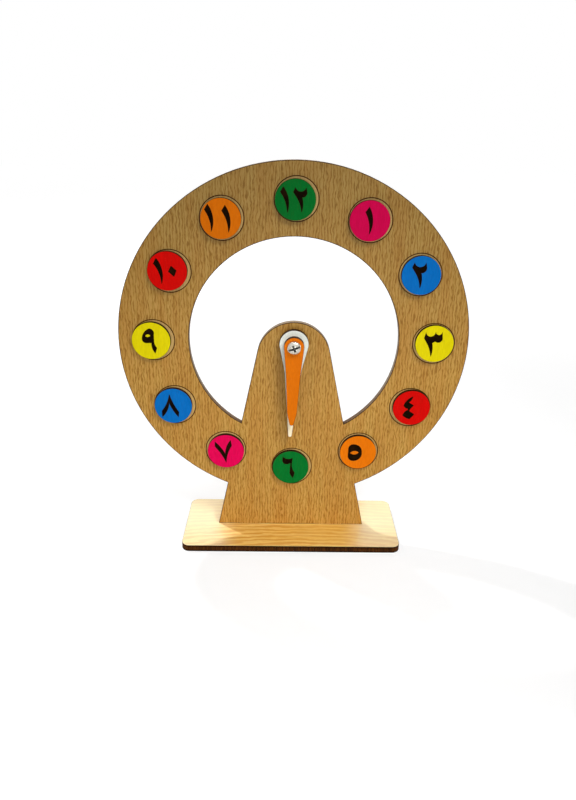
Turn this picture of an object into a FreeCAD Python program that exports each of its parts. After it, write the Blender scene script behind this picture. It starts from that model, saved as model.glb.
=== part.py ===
import FreeCAD, Part
import math
import os

import Sketcher

# A teaching clock in laser-cut board, in millimetres, +Z up.
# The origin is the middle of the base's underside, and the dial faces -Y.
# Angles about +Y are clockwise for someone who faces the dial.

SIZES = [
    # dial plate: ring, post and foot in one board
    ("dial_diameter", 250),
    ("opening_diameter", 150),
    ("dial_thickness", 5),
    ("ring_clearance", 26.4),       # from the base's top to the ring's lowest point
    ("post_head_radius", 26.5),
    ("post_head_drop", 12.2),       # the post's round head is centred below the pivot
    ("foot_width", 113),
    ("tab_width", 22),
    ("tab_inset", 16),              # from the foot's end to its tab
    ("tab_fit", 0.05),              # glue gap on each side of a tab in its slot
    ("tab_recess", 0.2),            # the tabs end this far above the table
    # base plate
    ("base_width", 164),
    ("base_depth", 65),
    ("base_thickness", 5),
    ("base_corner_radius", 6),
    # number discs and the scored circles that they sit in
    ("hour_count", 12),
    ("disc_diameter", 27.3),
    ("disc_thickness", 3),
    ("numeral_height", 18),
    ("numeral_depth", 0.5),
    ("score_margin", 1.35),         # from the disc's edge to the scored line
    ("score_width", 0.5),
    ("score_depth", 0.4),
    # hands
    ("hand_thickness", 4),
    ("minute_head_radius", 10.35),
    ("minute_waist_width", 12.2),
    ("minute_waist_drop", 20),
    ("minute_tip_radius", 1.4),
    ("minute_tip_gap", 2.6),        # from the minute hand's tip to the edge of the opening
    ("minute_lean", 1.5),           # degrees past 6 o'clock at which the hand rests
    ("hour_head_radius", 7.1),
    ("hour_waist_width", 10.4),
    ("hour_waist_drop", 20),
    ("hour_shoulder_width", 6.9),
    ("hour_shoulder_drop", 51),
    ("hour_tip_radius", 1.5),
    ("hour_reach", 60),
    ("hour_lean", 0.9),
    ("waist_radius", 45),           # rounds the minute hand's waist
    ("shoulder_radius", 25),        # rounds the hour hand's shoulders
    # pivot: screw, spacers, washer and lock nut
    ("screw_diameter", 5),
    ("screw_tail", 0.8),            # screw thread that shows behind the nut
    ("screw_tip_chamfer", 0.6),
    ("screw_head_diameter", 9.5),
    ("screw_head_height", 3.7),
    ("screw_dome_radius", 8),
    ("recess_width", 5.4),
    ("recess_slot", 1.3),
    ("recess_floor_width", 2.4),
    ("recess_floor_slot", 0.8),
    ("recess_depth", 2.4),
    ("recess_turn", -19),           # degrees that the cross stands turned
    ("spacer_diameter", 12),
    ("spacer_thickness", 2.5),
    ("washer_diameter", 10),
    ("washer_thickness", 1),
    ("nut_flats", 8),
    ("nut_hex_height", 3.6),
    ("nut_collar_height", 1.4),
    ("nut_collar_diameter", 7.4),
    ("nut_corner_angle", 30),
    ("insert_diameter", 6.4),
    ("insert_thickness", 1.4),
    ("insert_recess", 0.3),         # the ring lies this far inside the nut's collar
    # clearances
    ("bore_clearance", 0.15),       # fixed pieces round the screw, radial
    ("running_clearance", 0.08),    # turning hands round the screw, radial
    ("thread_clearance", 0.03),     # nut and insert round the screw, radial
    ("axial_play", 0.05),           # beside each hand, along the screw
]

# Numerals are drawn on a grid of this height, about the disc's centre, as they
# read from the front. A pair is a straight line to that point, and four numbers
# are an arc through the first point to the second.
GLYPH_GRID = 18

GLYPHS = {
    "0": [[(-0.8, 3.8), (-2.8, -0.3), (1.1, -3.8), (2.7, 0.5)]],
    "1": [[(-1.3, 9.0), (-3.3, 5.3), (0.3, -1.1, 1.8, -9.0), (2.7, -0.8, -1.3, 9.0)]],
    "2": [[(-5.2, 9.0), (-6.7, 5.6), (-4.4, 2.2), (-1.8, -2.8, -0.5, -9.0),
           (0.5, -3.4, -0.2, 1.8), (2.5, 2.9, 3.4, 5.4), (2.8, 9.0),
           (-1.1, 5.8, -5.2, 9.0)]],
    "3": [[(-6.7, 8.6), (-7.7, 4.2), (-6.2, 1.7), (-3.5, -3.6, -2.1, -9.6),
           (-1.2, -4.2, -1.8, 0.6), (0.4, 1.9), (3.5, 1.3, 5.3, 4.2), (5.0, 9.0),
           (2.6, 6.5, 0.2, 9.0), (-3.0, 5.3, -6.7, 8.6)]],
    "4": [[(0.5, 9.0), (-3.4, 6.2, -5.8, 1.9), (-4.4, 0.2, -2.5, -0.5), (-2.5, -1.6),
           (-4.7, -3.2, -6.0, -5.9), (-3.9, -7.7, -0.8, -8.8), (2.3, -5.2),
           (0.0, -3.5, -1.4, -2.6), (-1.0, -0.9), (1.5, 2.0), (-0.7, 3.4, -2.3, 4.5),
           (-0.5, 6.3, 0.5, 9.0)]],
    "5": [[(-7.3, 3.0), (-7.5, -3.0), (-6.2, -6.0, -3.0, -7.0), (1.3, -4.9, 2.7, 0.2),
           (1.1, 4.7, -2.9, 6.6), (-5.8, 6.0, -7.3, 3.0)],
          [(-6.1, -0.5), (-2.7, -1.9, 0.6, 0.1), (-2.7, 1.4, -6.1, -0.5)]],
    "6": [[(-6.0, 9.0), (-6.2, 5.4), (-4.6, 3.1, -1.9, 3.0), (-0.1, 3.5),
           (-0.3, -0.6, -0.6, -4.9), (0.5, -7.2, 1.9, -9.0), (3.1, -4.6),
           (1.1, -0.6, 0.8, 3.6), (1.4, 8.0), (-2.4, 7.0, -6.0, 9.0)]],
    "7": [[(-7.1, 8.9), (-7.6, 4.9), (-4.3, -0.6, -1.0, -9.4), (1.1, -2.1, 4.9, 4.2),
           (4.8, 8.9), (1.5, 4.6, -0.7, -2.4), (-3.4, 3.6, -7.1, 8.9)]],
    "9": [[(-0.9, 9.1), (-4.9, 5.8, -6.2, 1.9), (-5.5, -0.6, -3.4, -1.5), (0.3, -1.5),
           (0.7, -5.4, 2.6, -9.2), (3.9, -5.2), (2.4, -2.6, 2.0, 0.6), (2.0, 4.6),
           (1.4, 7.9, -0.9, 9.1)],
          [(-4.1, 3.4), (-2.1, 2.8, -0.2, 3.8), (-2.3, 5.0, -4.1, 3.4)]],
}

# digits: each with its shift along X and its scale. turn: degrees that the disc
# is glued clockwise of upright. slip: how far it is glued off its circle's centre.
NUMBERS = {
    1: {"digits": [("1", -0.7, 1.0)], "turn": 8, "slip": (-0.7, 0.0)},
    2: {"digits": [("2", 0.0, 1.0)], "turn": 0, "slip": (0.1, 0.0)},
    3: {"digits": [("3", 0.0, 1.0)], "turn": 0, "slip": (0.1, 0.7)},
    4: {"digits": [("4", 0.0, 1.0)], "turn": 0, "slip": (0.8, 0.7)},
    5: {"digits": [("5", 0.0, 1.0)], "turn": 0, "slip": (-0.2, 0.2)},
    6: {"digits": [("6", 0.0, 1.0)], "turn": 0, "slip": (-0.9, 0.3)},
    7: {"digits": [("7", 0.0, 1.0)], "turn": -7, "slip": (0.2, -0.1)},
    8: {"digits": [("8", -3.6, 1.0)], "turn": 0, "slip": (-1.1, 0.1)},
    9: {"digits": [("9", 0.0, 1.0)], "turn": 0, "slip": (-1.3, 0.1)},
    10: {"digits": [("1", -5.9, 1.0), ("0", 3.6, 1.0)], "turn": 0, "slip": (-1.1, 0.5)},
    11: {"digits": [("1", -7.8, 1.0), ("1", 3.7, 1.0)], "turn": 3, "slip": (-0.4, 0.0)},
    12: {"digits": [("1", -7.0, 0.94), ("2", 4.6, 0.9)], "turn": 0, "slip": (-0.8, -0.3)},
}

DIAL_CENTRE_Z = "Sizes.base_thickness + Sizes.ring_clearance + Sizes.dial_diameter / 2"
FOOT_DROP = "(Sizes.ring_clearance + Sizes.dial_diameter / 2)"
NUMBER_CIRCLE_RADIUS = "(Sizes.dial_diameter + Sizes.opening_diameter) / 4"
DIAL_FRONT = "Sizes.dial_thickness / 2"
MINUTE_BACK = f"({DIAL_FRONT} + Sizes.spacer_thickness + Sizes.axial_play)"
MINUTE_FRONT = f"({MINUTE_BACK} + Sizes.hand_thickness)"
HAND_SPACER_BACK = f"({MINUTE_FRONT} + Sizes.axial_play)"
HOUR_BACK = f"({HAND_SPACER_BACK} + Sizes.spacer_thickness + Sizes.axial_play)"
SCREW_SEAT = f"({HOUR_BACK} + Sizes.hand_thickness + Sizes.axial_play)"
NUT_SEAT = f"({DIAL_FRONT} + Sizes.washer_thickness)"
NUT_HEIGHT = "(Sizes.nut_hex_height + Sizes.nut_collar_height)"
SCREW_LENGTH = f"({SCREW_SEAT} + {NUT_SEAT} + {NUT_HEIGHT} + Sizes.screw_tail)"
MINUTE_REACH = "(Sizes.opening_diameter / 2 - Sizes.minute_tip_gap)"

doc = FreeCAD.newDocument("TeachingClock")


def make_sheet():
    """The spreadsheet holds every driving dimension."""
    sheet = doc.addObject("Spreadsheet::Sheet", "Sizes")
    for row, (name, value) in enumerate(SIZES, start=1):
        sheet.set(f"A{row}", name)
        sheet.set(f"B{row}", str(value))
        sheet.setAlias(f"B{row}", name)
    doc.recompute()
    return sheet


sheet = make_sheet()


def value_of(expression):
    return float(sheet.evalExpression(expression))


# ---- helpers for bodies, sketches and features ----

def new_body(label, x="0", y="0", z="0", turn=0.0):
    """A body whose own origin is placed by expressions, turned about Y."""
    body = doc.addObject("PartDesign::Body", label)
    body.Label = label
    place = FreeCAD.Vector(value_of(x), value_of(y), value_of(z))
    body.Placement = FreeCAD.Placement(place, FreeCAD.Rotation(FreeCAD.Vector(0, 1, 0), turn))
    for axis, expression in (("x", x), ("y", y), ("z", z)):
        body.setExpression(f"Placement.Base.{axis}", expression)
    return body


def origin_part(body, role):
    return next(item for item in body.Origin.OriginFeatures if item.Role == role)


def new_sketch(body, name, plane="XZ_Plane", offset="0"):
    """A sketch on one of the body's planes. On XZ it faces -Y, so offset is towards the front."""
    sketch = body.newObject("Sketcher::SketchObject", f"{body.Label}_{name}")
    sketch.AttachmentSupport = (origin_part(body, plane), [""])
    sketch.MapMode = "FlatFace"
    sketch.setExpression("AttachmentOffset.Base.z", offset)
    return sketch


def constrain(sketch, kind, *places, size=None):
    """Adds a constraint, and binds it to the sheet where it has a size."""
    if size is None:
        sketch.addConstraint(Sketcher.Constraint(kind, *places))
        return
    index = sketch.addConstraint(Sketcher.Constraint(kind, *places, value_of(size)))
    sketch.setExpression(f"Constraints[{index}]", size)


def pin(sketch, geometry, point, x=None, y=None):
    """Holds a point at a distance from the sketch's origin, in the sign that its place has."""
    for kind, size in (("DistanceX", x), ("DistanceY", y)):
        if size is None:
            continue
        if value_of(size) < 0:
            constrain(sketch, kind, geometry, point, -1, 1, size=f"-({size})")
        else:
            constrain(sketch, kind, -1, 1, geometry, point, size=size)


def add_circle(sketch, diameter, y=None):
    """A circle on the sketch's vertical axis, at its origin or y above it."""
    centre = FreeCAD.Vector(0, value_of(y) if y else 0, 0)
    circle = Part.Circle(centre, FreeCAD.Vector(0, 0, 1), value_of(diameter) / 2)
    index = sketch.addGeometry(circle)
    if y:
        constrain(sketch, "PointOnObject", index, 3, -2)
        pin(sketch, index, 3, y=y)
    else:
        constrain(sketch, "Coincident", index, 3, -1, 1)
    constrain(sketch, "Diameter", index, size=diameter)
    return index


def add_polygon(sketch, points):
    """A closed outline of straight lines, not yet pinned. Its lines follow its points' order."""
    corners = [FreeCAD.Vector(x, y, 0) for x, y in points]
    first = sketch.GeometryCount
    for start, end in zip(corners, corners[1:] + corners[:1]):
        sketch.addGeometry(Part.LineSegment(start, end))
    count = len(corners)
    for line in range(count):
        constrain(sketch, "Coincident", first + line, 2, first + (line + 1) % count, 1)
    return first


def add_rectangle(sketch, left, bottom, right, top):
    x0, y0, x1, y1 = (value_of(side) for side in (left, bottom, right, top))
    first = add_polygon(sketch, [(x0, y0), (x1, y0), (x1, y1), (x0, y1)])
    for line, kind in enumerate(("Horizontal", "Vertical", "Horizontal", "Vertical")):
        constrain(sketch, kind, first + line)
    pin(sketch, first, 1, x=left, y=bottom)
    pin(sketch, first + 2, 1, x=right, y=top)


def pad(body, sketch, length, backwards=False):
    feature = body.newObject("PartDesign::Pad", f"{sketch.Name}_pad")
    feature.Profile = sketch
    feature.Reversed = backwards
    feature.setExpression("Length", length)
    doc.recompute()
    return feature


def pocket(body, sketch, depth=None, backwards=False):
    """Cuts away from the sketch's front. With no depth it cuts right through."""
    before = body.Shape.Volume
    feature = body.newObject("PartDesign::Pocket", f"{sketch.Name}_pocket")
    feature.Profile = sketch
    feature.Reversed = backwards
    if depth is None:
        feature.Type = "ThroughAll"
    else:
        feature.setExpression("Length", depth)
    doc.recompute()
    if feature.Shape.isNull() or feature.Shape.Volume >= before:
        raise RuntimeError(f"{feature.Name} cuts nothing")
    return feature


def revolve(body, sketch, kind="PartDesign::Revolution"):
    feature = body.newObject(kind, f"{sketch.Name}_turned")
    feature.Profile = sketch
    feature.ReferenceAxis = (sketch, ["V_Axis"])
    feature.Angle = 360
    doc.recompute()
    return feature


def fillet(body, radius, wanted):
    """Rounds the edges of the body's tip that wanted() picks."""
    tip = body.Tip
    names = [f"Edge{i}" for i, edge in enumerate(tip.Shape.Edges, start=1) if wanted(edge)]
    feature = body.newObject("PartDesign::Fillet", f"{body.Label}_fillet")
    feature.Base = (tip, names)
    feature.setExpression("Radius", radius)
    doc.recompute()
    return feature


def runs_along(edge, axis):
    if not isinstance(edge.Curve, Part.Line):
        return False
    return edge.Curve.Direction.cross(axis).Length < 1e-6


# ---- dial plate ----

def make_dial_plate():
    body = new_body("dial_plate", z=DIAL_CENTRE_Z)
    back = f"-({DIAL_FRONT})"

    ring = new_sketch(body, "ring", offset=back)
    add_circle(ring, "Sizes.dial_diameter")
    add_circle(ring, "Sizes.opening_diameter")
    pad(body, ring, "Sizes.dial_thickness")

    post = new_sketch(body, "post", offset=back)
    add_post(post)
    pad(body, post, "Sizes.dial_thickness")

    tabs = new_sketch(body, "tabs", offset=back)
    inner = "(Sizes.foot_width / 2 - Sizes.tab_inset - Sizes.tab_width)"
    outer = "(Sizes.foot_width / 2 - Sizes.tab_inset)"
    tip = f"-{FOOT_DROP} - Sizes.base_thickness + Sizes.tab_recess"
    add_rectangle(tabs, inner, tip, outer, f"-{FOOT_DROP}")
    add_rectangle(tabs, f"-{outer}", tip, f"-{inner}", f"-{FOOT_DROP}")
    pad(body, tabs, "Sizes.dial_thickness")

    hole = new_sketch(body, "pivot_hole", offset=DIAL_FRONT)
    add_circle(hole, "Sizes.screw_diameter + 2 * Sizes.bore_clearance")
    pocket(body, hole)

    score = new_sketch(body, "score", offset=DIAL_FRONT)
    middle = "Sizes.disc_diameter + 2 * Sizes.score_margin"
    add_circle(score, f"{middle} - Sizes.score_width", y=NUMBER_CIRCLE_RADIUS)
    add_circle(score, f"{middle} + Sizes.score_width", y=NUMBER_CIRCLE_RADIUS)
    scored = pocket(body, score, "Sizes.score_depth")
    one_cut = volume_lost(body, scored)

    around = body.newObject("PartDesign::PolarPattern", "score_pattern")
    around.Originals = [scored]
    around.Axis = (origin_part(body, "Y_Axis"), [""])
    around.Angle = 360
    around.setExpression("Occurrences", "Sizes.hour_count")
    body.Tip = around
    doc.recompute()
    if scored.Shape.Volume - around.Shape.Volume < 0.99 * (sheet.hour_count - 1) * one_cut:
        raise RuntimeError("the scored circles are not all cut")
    return body


def volume_lost(body, feature):
    return feature.BaseFeature.Shape.Volume - feature.Shape.Volume


def add_post(sketch):
    """Round head, two straight sides tangent to it, and a flat foot."""
    radius = value_of("Sizes.post_head_radius")
    drop = value_of("Sizes.post_head_drop")
    half_foot = value_of("Sizes.foot_width / 2")
    foot_y = -value_of(FOOT_DROP)
    centre = FreeCAD.Vector(0, -drop, 0)
    touch_x, touch_y = tangent_point(0, -drop, radius, half_foot, foot_y)
    start = math.atan2(touch_y + drop, touch_x)
    circle = Part.Circle(centre, FreeCAD.Vector(0, 0, 1), radius)
    head = sketch.addGeometry(Part.ArcOfCircle(circle, start, math.pi - start))
    right, left = (FreeCAD.Vector(side * half_foot, foot_y, 0) for side in (1, -1))
    touch_right, touch_left = (FreeCAD.Vector(side * touch_x, touch_y, 0) for side in (1, -1))
    left_side = sketch.addGeometry(Part.LineSegment(touch_left, left))
    foot = sketch.addGeometry(Part.LineSegment(left, right))
    right_side = sketch.addGeometry(Part.LineSegment(right, touch_right))
    constrain(sketch, "PointOnObject", head, 3, -2)
    pin(sketch, head, 3, y="-Sizes.post_head_drop")
    constrain(sketch, "Radius", head, size="Sizes.post_head_radius")
    constrain(sketch, "Tangent", head, 2, left_side, 1)
    constrain(sketch, "Tangent", right_side, 2, head, 1)
    constrain(sketch, "Coincident", left_side, 2, foot, 1)
    constrain(sketch, "Coincident", foot, 2, right_side, 1)
    constrain(sketch, "Symmetric", foot, 1, foot, 2, -2)
    pin(sketch, foot, 2, x="Sizes.foot_width / 2", y=f"-{FOOT_DROP}")


def tangent_point(centre_x, centre_y, radius, x, y):
    """Where a line from (x, y), below right of a circle, touches the circle's right side."""
    distance = math.hypot(x - centre_x, y - centre_y)
    towards = math.atan2(y - centre_y, x - centre_x)
    angle = towards + math.acos(radius / distance)
    return centre_x + radius * math.cos(angle), centre_y + radius * math.sin(angle)


# ---- base plate ----

def make_base_plate():
    body = new_body("base_plate")
    outline = new_sketch(body, "outline", plane="XY_Plane")
    add_rectangle(outline, "-Sizes.base_width / 2", "-Sizes.base_depth / 2",
                  "Sizes.base_width / 2", "Sizes.base_depth / 2")
    pad(body, outline, "Sizes.base_thickness")
    fillet(body, "Sizes.base_corner_radius",
           lambda edge: runs_along(edge, FreeCAD.Vector(0, 0, 1)))

    slots = new_sketch(body, "slots", plane="XY_Plane", offset="Sizes.base_thickness")
    inner = "(Sizes.foot_width / 2 - Sizes.tab_inset - Sizes.tab_width - Sizes.tab_fit)"
    outer = "(Sizes.foot_width / 2 - Sizes.tab_inset + Sizes.tab_fit)"
    half_gap = "(Sizes.dial_thickness / 2 + Sizes.tab_fit)"
    add_rectangle(slots, inner, f"-{half_gap}", outer, half_gap)
    add_rectangle(slots, f"-{outer}", f"-{half_gap}", f"-{inner}", half_gap)
    pocket(body, slots)
    return body


# ---- number discs ----

def half_turn(glyph):
    """The same outline turned upside down: an eight is a seven turned round."""
    return [[tuple(-number for number in step) for step in loop] for loop in glyph]


GLYPHS["8"] = half_turn(GLYPHS["7"])


def add_glyph(sketch, glyph, shift, scale):
    """Draws a numeral's closed loops in a sketch."""
    def place(x, y):
        return FreeCAD.Vector((x * scale + shift) * unit, y * scale * unit, 0)

    unit = value_of("Sizes.numeral_height") / GLYPH_GRID
    for loop in glyph:
        first = place(*loop[0])
        at = first
        for step in loop[1:]:
            end = place(*step[-2:])
            if len(step) == 4:
                sketch.addGeometry(Part.Arc(at, place(*step[:2]), end))
            else:
                sketch.addGeometry(Part.LineSegment(at, end))
            at = end
        if at.distanceToPoint(first) > 1e-6:
            sketch.addGeometry(Part.LineSegment(at, first))


def make_number_disc(number, details):
    step = f"(360 deg / Sizes.hour_count * {number})"
    slip_x, slip_z = details["slip"]
    body = new_body(
        f"number_disc_{number:02d}",
        x=f"{NUMBER_CIRCLE_RADIUS} * sin{step} + {slip_x}",
        y=f"-({DIAL_FRONT})",
        z=f"{DIAL_CENTRE_Z} + {NUMBER_CIRCLE_RADIUS} * cos{step} + {slip_z}",
        turn=details["turn"],
    )
    outline = new_sketch(body, "outline")
    add_circle(outline, "Sizes.disc_diameter")
    pad(body, outline, "Sizes.disc_thickness")

    numeral = new_sketch(body, "numeral", offset="Sizes.disc_thickness")
    for digit, shift, scale in details["digits"]:
        add_glyph(numeral, GLYPHS[digit], shift, scale)
    pocket(body, numeral, "Sizes.numeral_depth")
    return body


# ---- hands ----

def add_hand_outline(sketch, head_radius, stations, tip_radius, reach):
    """Round head, straight flanks through the stations (width, drop), round tip.
    The hand hangs down from its pivot at the sketch's origin."""
    head_r, tip_r = value_of(head_radius), value_of(tip_radius)
    tip_y = tip_r - value_of(reach)
    corners = [(value_of(width) / 2, -value_of(drop)) for width, drop in stations]
    head_touch = tangent_point(0, 0, head_r, *corners[0])
    mirrored = tangent_point(0, -tip_y, tip_r, corners[-1][0], -corners[-1][1])
    tip_touch = (mirrored[0], -mirrored[1])

    right = [head_touch] + corners + [tip_touch]
    start = math.atan2(head_touch[1], head_touch[0])
    upward = FreeCAD.Vector(0, 0, 1)
    head_circle = Part.Circle(FreeCAD.Vector(0, 0, 0), upward, head_r)
    head = sketch.addGeometry(Part.ArcOfCircle(head_circle, start, math.pi - start))
    left_lines = add_chain(sketch, [(-x, y) for x, y in right])
    tip_circle = Part.Circle(FreeCAD.Vector(0, tip_y, 0), upward, tip_r)
    end = math.atan2(tip_touch[1] - tip_y, tip_touch[0])
    tip = sketch.addGeometry(Part.ArcOfCircle(tip_circle, math.pi - end, 2 * math.pi + end))
    right_lines = add_chain(sketch, right[::-1])

    constrain(sketch, "Coincident", head, 3, -1, 1)
    constrain(sketch, "Radius", head, size=head_radius)
    constrain(sketch, "Tangent", head, 2, left_lines[0], 1)
    constrain(sketch, "Tangent", left_lines[-1], 2, tip, 1)
    constrain(sketch, "PointOnObject", tip, 3, -2)
    pin(sketch, tip, 3, y=f"{tip_radius} - {reach}")
    constrain(sketch, "Radius", tip, size=tip_radius)
    constrain(sketch, "Tangent", tip, 2, right_lines[0], 1)
    constrain(sketch, "Tangent", right_lines[-1], 2, head, 1)
    for index, (width, drop) in enumerate(stations):
        pin(sketch, left_lines[index], 2, x=f"-{width} / 2", y=f"-{drop}")
        pin(sketch, right_lines[-1 - index], 1, x=f"{width} / 2", y=f"-{drop}")


def add_chain(sketch, points):
    """Joined straight lines through the points."""
    corners = [FreeCAD.Vector(x, y, 0) for x, y in points]
    lines = [sketch.addGeometry(Part.LineSegment(a, b)) for a, b in zip(corners, corners[1:])]
    for line, following in zip(lines, lines[1:]):
        constrain(sketch, "Coincident", line, 2, following, 1)
    return lines


def round_station(body, width, drop, radius):
    """Rounds the two corners of a hand where it has this width, as the body's own frame sees them."""
    half, low = value_of(width) / 2, value_of(drop)

    def at_station(edge):
        if not runs_along(edge, FreeCAD.Vector(0, 1, 0)):
            return False
        corner = edge.Vertexes[0].Point
        return abs(abs(corner.x) - half) < 0.01 and abs(corner.z + low) < 0.01

    fillet(body, radius, at_station)


def make_hand(label, y, lean, outline):
    """A flat hand on the pivot, with a running bore. A station with no radius is a faint corner."""
    body = new_body(label, y=f"-{y}", z=DIAL_CENTRE_Z, turn=value_of(lean))
    shape = new_sketch(body, "outline")
    stations = outline["stations"]
    add_hand_outline(shape, outline["head"], [station[:2] for station in stations],
                     outline["tip"], outline["reach"])
    pad(body, shape, "Sizes.hand_thickness")
    for width, drop, radius in stations:
        if radius:
            round_station(body, width, drop, radius)
    bore = new_sketch(body, "bore", offset="Sizes.hand_thickness")
    add_circle(bore, "Sizes.screw_diameter + 2 * Sizes.running_clearance")
    pocket(body, bore)
    return body


def make_hands():
    minute = {
        "head": "Sizes.minute_head_radius",
        "stations": [("Sizes.minute_waist_width", "Sizes.minute_waist_drop", "Sizes.waist_radius")],
        "tip": "Sizes.minute_tip_radius",
        "reach": MINUTE_REACH,
    }
    hour = {
        "head": "Sizes.hour_head_radius",
        "stations": [
            ("Sizes.hour_waist_width", "Sizes.hour_waist_drop", None),
            ("Sizes.hour_shoulder_width", "Sizes.hour_shoulder_drop", "Sizes.shoulder_radius"),
        ],
        "tip": "Sizes.hour_tip_radius",
        "reach": "Sizes.hour_reach",
    }
    return [
        make_hand("minute_hand", MINUTE_BACK, "Sizes.minute_lean", minute),
        make_hand("hour_hand", HOUR_BACK, "Sizes.hour_lean", hour),
    ]


# ---- pivot ----

def make_pivot_screw():
    """Pan head screw. Its own origin is under the head, with the shank along +Y."""
    body = new_body("pivot_screw", y=f"-{SCREW_SEAT}", z=DIAL_CENTRE_Z, turn=sheet.recess_turn)
    profile = new_sketch(body, "profile", plane="XY_Plane")
    head_r, dome_r = sheet.screw_head_diameter / 2, sheet.screw_dome_radius
    top, shank_r = -sheet.screw_head_height, sheet.screw_diameter / 2
    length, chamfer = value_of(SCREW_LENGTH), sheet.screw_tip_chamfer
    rim = top + dome_r - math.sqrt(dome_r ** 2 - head_r ** 2)
    half_r = head_r / 2
    dome_mid = top + dome_r - math.sqrt(dome_r ** 2 - half_r ** 2)
    corners = [(head_r, rim), (head_r, 0), (shank_r, 0), (shank_r, length - chamfer),
               (shank_r - chamfer, length), (0, length), (0, top)]
    points = [FreeCAD.Vector(x, y, 0) for x, y in corners]
    for start, end in zip(points, points[1:]):
        profile.addGeometry(Part.LineSegment(start, end))
    profile.addGeometry(Part.Arc(points[-1], FreeCAD.Vector(half_r, dome_mid, 0), points[0]))
    revolve(body, profile)

    mouth = new_sketch(body, "recess_mouth", offset="Sizes.screw_head_height")
    floor = new_sketch(body, "recess_floor", offset="Sizes.screw_head_height - Sizes.recess_depth")
    add_polygon(mouth, cross_points(sheet.recess_width / 2, sheet.recess_slot / 2))
    add_polygon(floor, cross_points(sheet.recess_floor_width / 2, sheet.recess_floor_slot / 2))
    recess = body.newObject("PartDesign::SubtractiveLoft", "recess")
    recess.Profile = mouth
    recess.Sections = [floor]
    doc.recompute()
    return body


def cross_points(reach, half_slot):
    """The twelve corners of a cross, anticlockwise."""
    arm = [(reach, -half_slot), (reach, half_slot), (half_slot, half_slot)]
    points = []
    for _ in range(4):
        points += arm
        arm = [(-y, x) for x, y in arm]
    return points


def make_ring(label, y, outer, inner, thickness, backwards=False):
    """A washer, spacer or insert round the screw, built from y towards the front or the back."""
    body = new_body(label, y=y, z=DIAL_CENTRE_Z)
    outline = new_sketch(body, "outline")
    add_circle(outline, outer)
    add_circle(outline, inner)
    pad(body, outline, thickness, backwards)
    return body


def make_washers():
    loose = "Sizes.screw_diameter + 2 * Sizes.bore_clearance"
    spacer = ("Sizes.spacer_diameter", loose, "Sizes.spacer_thickness")
    washer = ("Sizes.washer_diameter", loose, "Sizes.washer_thickness")
    return [
        make_ring("plate_spacer", f"-({DIAL_FRONT})", *spacer),
        make_ring("hand_spacer", f"-{HAND_SPACER_BACK}", *spacer),
        make_ring("back_washer", DIAL_FRONT, *washer, backwards=True),
    ]


def make_lock_nut():
    """Hexagon with a round collar behind it, bored for the screw and recessed for the insert."""
    body = new_body("lock_nut", y=NUT_SEAT, z=DIAL_CENTRE_Z)
    corner = sheet.nut_flats / math.sqrt(3)
    hexagon = new_sketch(body, "hexagon")
    angles = [math.radians(60 * k) for k in range(6)]
    add_polygon(hexagon, [(corner * math.cos(a), corner * math.sin(a)) for a in angles])
    pad(body, hexagon, "Sizes.nut_hex_height", backwards=True)

    bevel = new_sketch(body, "corner_bevel", plane="XY_Plane")
    flat, past = sheet.nut_flats / 2, corner + 1
    rise = (past - flat) * math.tan(math.radians(sheet.nut_corner_angle))
    top = sheet.nut_hex_height
    add_polygon(bevel, [(flat, 0), (past, 0), (past, rise)])
    add_polygon(bevel, [(flat, top), (past, top - rise), (past, top)])
    revolve(body, bevel, "PartDesign::Groove")

    collar = new_sketch(body, "collar", offset="-Sizes.nut_hex_height")
    add_circle(collar, "Sizes.nut_collar_diameter")
    pad(body, collar, "Sizes.nut_collar_height", backwards=True)

    bore = new_sketch(body, "bore")
    add_circle(bore, "Sizes.screw_diameter + 2 * Sizes.thread_clearance")
    pocket(body, bore)

    seat = new_sketch(body, "insert_seat", offset=f"-{NUT_HEIGHT}")
    add_circle(seat, "Sizes.insert_diameter")
    pocket(body, seat, "Sizes.insert_thickness + Sizes.insert_recess", backwards=True)
    return body


def make_nut_insert():
    seat = f"({NUT_SEAT} + {NUT_HEIGHT} - Sizes.insert_recess - Sizes.insert_thickness)"
    bore = "Sizes.screw_diameter + 2 * Sizes.thread_clearance"
    return make_ring("nut_insert", seat, "Sizes.insert_diameter", bore,
                     "Sizes.insert_thickness", backwards=True)


def check_document():
    doc.recompute()
    for item in doc.Objects:
        if "Invalid" in item.State or "Error" in item.State:
            raise RuntimeError(f"{item.Label} failed: {item.State}")


def write_parts(bodies):
    os.makedirs("parts", exist_ok=True)
    for body in bodies:
        shape = body.Shape
        if shape.isNull() or not shape.isValid() or len(shape.Solids) != 1:
            raise RuntimeError(f"{body.Label} is not one valid solid")
    for body in bodies:
        body.Shape.exportStep(f"parts/{body.Label}.step")
        print(f"{body.Label}: {body.Shape.Volume:.1f} mm3")


def main():
    bodies = [make_dial_plate(), make_base_plate()]
    bodies += [make_number_disc(number, details) for number, details in NUMBERS.items()]
    bodies += make_hands()
    bodies.append(make_pivot_screw())
    bodies += make_washers()
    bodies += [make_lock_nut(), make_nut_insert()]
    check_document()
    write_parts(bodies)


main()
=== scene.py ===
import math

import bmesh
import bpy
from mathutils import Matrix, Vector


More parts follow.
